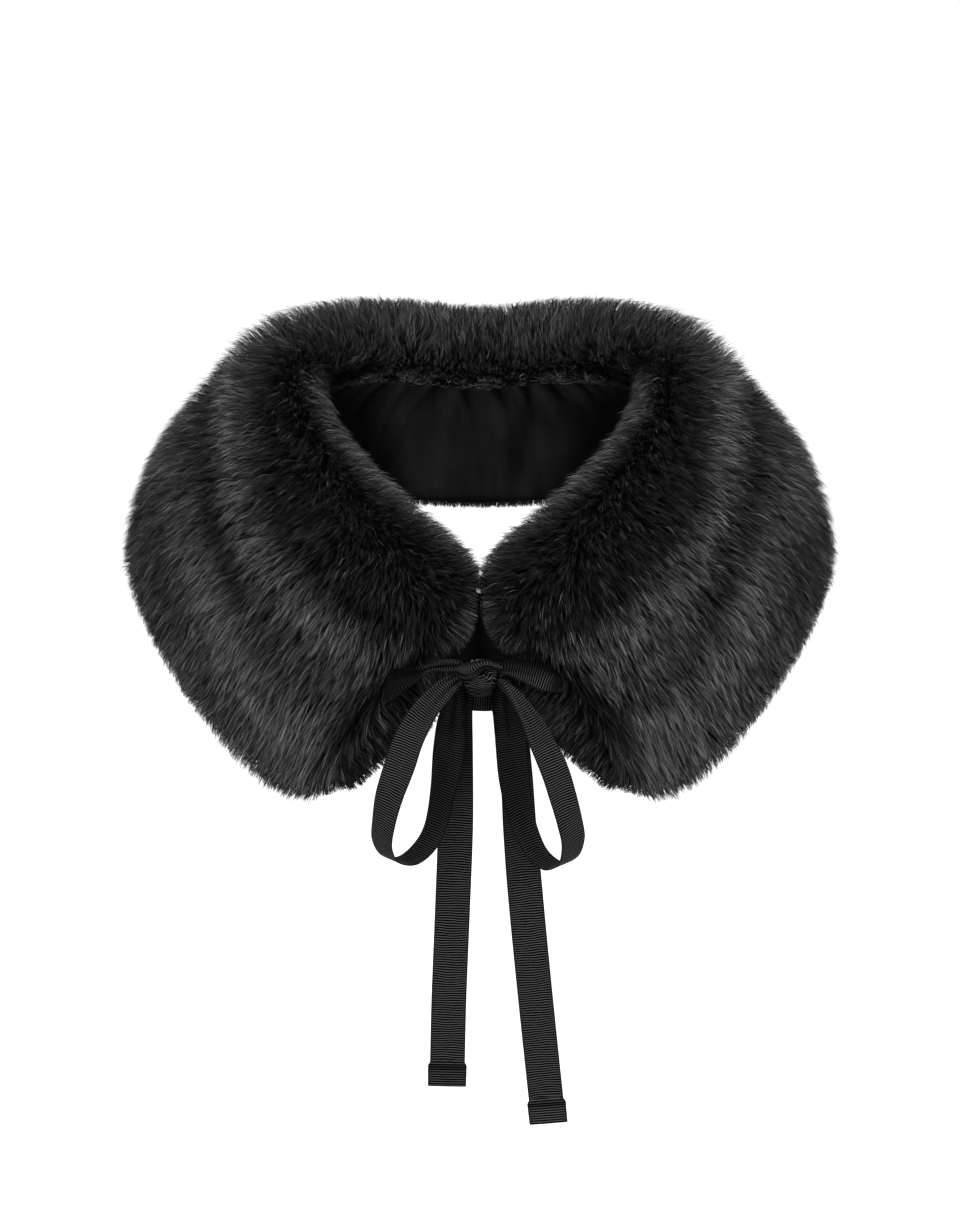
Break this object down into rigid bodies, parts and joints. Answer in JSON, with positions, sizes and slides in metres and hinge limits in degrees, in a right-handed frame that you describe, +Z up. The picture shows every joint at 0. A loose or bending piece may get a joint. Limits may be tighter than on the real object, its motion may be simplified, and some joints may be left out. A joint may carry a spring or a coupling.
{
  "type": "fur collar wrap",
  "caption": "Faux-fur collar wrap in near-black, rolled round an open neck, with a twill lining and a grosgrain ribbon tied in a bow at the front.",
  "frame": {"origin": "centre of the neck hollow, on the line where the collar rests on the shoulders", "axes": "+Z up, -Y out of the wearer's front where the bow is, +X to the wearer's left"},
  "size_m": [0.3934, 0.3249, 0.4266],
  "materials": {
    "faux fur": "long soft pile, near-black",
    "lining twill": "fine diagonal twill, matt with a faint sheen",
    "grosgrain": "fine cross ribs, satin"
  },
  "bodies": {
    "root": {"fur_back": "faux fur", "fur_front_left": "faux fur", "fur_front_right": "faux fur", "lining": "lining twill", "knot": "grosgrain", "tie_crossing": "grosgrain", "tie_left": "grosgrain", "tie_right": "grosgrain", "loop_left": "grosgrain", "loop_right": "grosgrain", "tail_left": "grosgrain", "tail_right": "grosgrain"}
  },
  "joints": []
}
